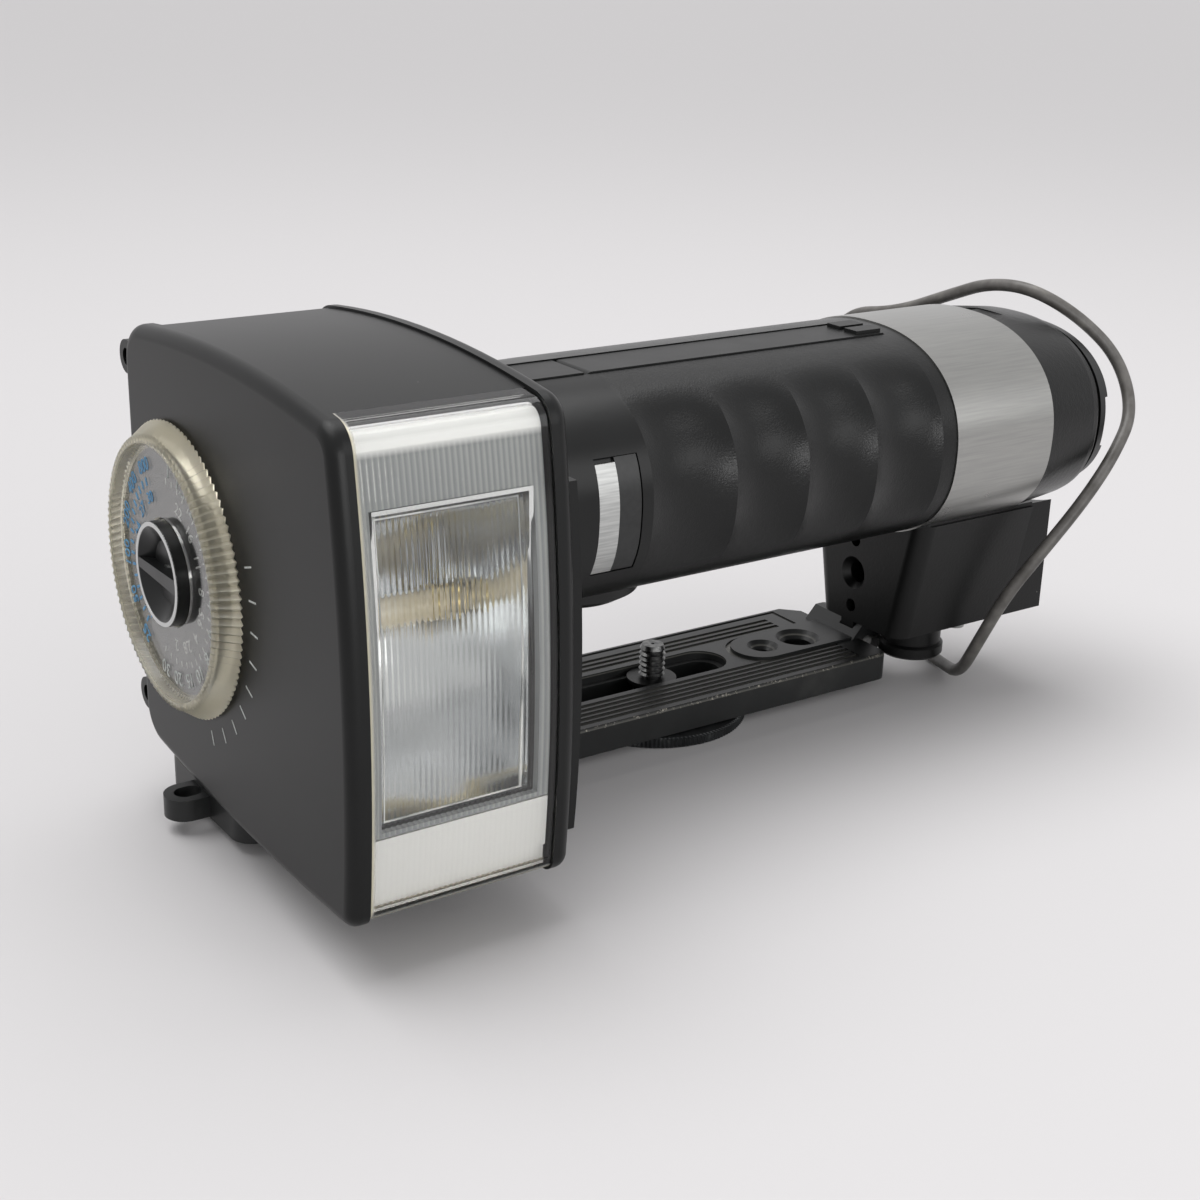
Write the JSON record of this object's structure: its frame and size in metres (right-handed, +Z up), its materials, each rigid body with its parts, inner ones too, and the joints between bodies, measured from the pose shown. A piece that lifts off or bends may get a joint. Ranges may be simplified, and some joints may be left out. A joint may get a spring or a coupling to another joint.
{
  "type": "handle mount flash",
  "caption": "Hammerhead photo flash with calculator dial and tilting head on a ribbed handle, clamped to a folding slotted camera bar, with a sync cord",
  "frame": {"origin": "bottom centre of the box round the flash and its bracket, without the free cord", "axes": "+X from the dial along the handle, +Y from the lens to the back, +Z up from the table the flash lies on"},
  "size_m": [0.2347, 0.1192, 0.1045],
  "materials": {
    "head_plastic": "fine satin moulded black",
    "clear_lens": "clear moulded, fluted inside, edges yellowed",
    "panel_plastic": "grey translucent panel",
    "opal_plastic": "opal white",
    "mirror_sheet": "polished reflector sheet",
    "tube_glass": "clear quartz",
    "brass_sheet": "plain brass sheet",
    "scale_face": "black disc with white and blue printed scales",
    "clear_dial": "aged clear moulding with a fine knurl",
    "knob_plastic": "black moulded",
    "plain_steel": "plain turned steel",
    "lamp_lens": "red indicator lens",
    "button_plastic": "dark grey moulded",
    "grip_plastic": "black with a fine leather grain",
    "silver_plate": "satin silver, left bare",
    "dark_strip": "dark strip, left bare",
    "strip_plastic": "satin black",
    "cell_jacket": "battery cell jacket",
    "brushed_band": "brushed round the handle",
    "block_paint": "satin black paint",
    "bar_paint": "satin black paint, worn bare at the edges",
    "wheel_black": "black knurled disc",
    "cord_rubber": "grey-brown rubber"
  },
  "bodies": {
    "handle": {"tilt_plate": "grip_plastic", "tilt_pin": "plain_steel", "grip_body": "grip_plastic", "badge_plate": "silver_plate", "badge_strip": "dark_strip", "spine_front": "strip_plastic", "battery_cover_pin": "plain_steel", "battery_pack": "cell_jacket", "ring_band": "brushed_band", "butt_cap": "grip_plastic", "end_plate": "strip_plastic", "accessory_cap": "knob_plastic", "bracket_block": "block_paint", "fold_lug": "block_paint", "knob_stud": "plain_steel", "fold_axle": "plain_steel", "cord_gland": "cord_rubber", "sync_cord": "cord_rubber", "sync_plug": "cord_rubber", "sync_plug_tip": "plain_steel"},
    "head": {"dial_cover": "head_plastic", "head_housing": "head_plastic", "grip_cover": "head_plastic", "lens": "clear_lens", "window_frame": "panel_plastic", "lower_diffuser": "opal_plastic", "reflector": "mirror_sheet", "flash_tube": "tube_glass", "tube_clips": "brass_sheet", "contact_tabs": "brass_sheet", "dial_scale": "scale_face", "dial_axle": "plain_steel", "strap_eyelets": "head_plastic", "back_panel": "knob_plastic", "ready_lamp": "lamp_lens"},
    "dial": {"dial_ring": "clear_dial"},
    "pointer": {"dial_knob": "knob_plastic"},
    "switch": {"power_switch": "button_plastic"},
    "button": {"test_button": "button_plastic"},
    "lid": {"battery_cover": "strip_plastic"},
    "knob": {"clamp_knob": "knob_plastic"},
    "release": {"release_button": "plain_steel"},
    "bar": {"camera_bar": "bar_paint", "bar_end": "bar_paint"},
    "bush": {"slide_bush": "bar_paint"},
    "screw": {"camera_screw": "plain_steel", "screw_wheel": "wheel_black"}
  },
  "joints": [
    {"name": "head_tilt", "type": "hinge", "parent": "handle", "child": "head", "pos_m": [-0.05785, 0.04693, 0.058], "axis": [0, 0, 1], "range_deg": [-90, 0]},
    {"name": "dial_turn", "type": "hinge", "parent": "head", "child": "dial", "pos_m": [-0.10805, 0.01954, 0.058], "axis": [1, 0, 0], "continuous": true},
    {"name": "pointer_turn", "type": "hinge", "parent": "head", "child": "pointer", "pos_m": [-0.10905, 0.01954, 0.058], "axis": [1, 0, 0], "continuous": true},
    {"name": "switch_slide", "type": "slide", "parent": "head", "child": "switch", "axis": [0, 0, 1], "range_m": [-0.0025, 0.0025]},
    {"name": "button_press", "type": "slide", "parent": "head", "child": "button", "axis": [0, -1, 0], "range_m": [0, 0.0012], "stiffness_N_per_m": 300},
    {"name": "lid_open", "type": "hinge", "parent": "handle", "child": "lid", "pos_m": [-0.02465, 0.00703, 0.0901], "axis": [0, -1, 0], "range_deg": [0, 60]},
    {"name": "knob_turn", "type": "hinge", "parent": "handle", "child": "knob", "pos_m": [0.07795, 0.00804, 0.012], "axis": [0, 0, 1], "continuous": true},
    {"name": "release_press", "type": "slide", "parent": "handle", "child": "release", "axis": [0, 0, 1], "range_m": [0, 0.0025], "stiffness_N_per_m": 400},
    {"name": "bar_fold", "type": "hinge", "parent": "handle", "child": "bar", "pos_m": [0.07155, 0.02153, 0.0085], "axis": [0, -1, 0], "range_deg": [0, 90]},
    {"name": "bush_slide", "type": "slide", "parent": "bar", "child": "bush", "axis": [1, 0, 0], "range_m": [-0.0594, 0.0146]},
    {"name": "screw_turn", "type": "hinge", "parent": "bush", "child": "screw", "pos_m": [0.01135, 0.02543, 0.005], "axis": [0, 0, 1], "continuous": true}
  ]
}
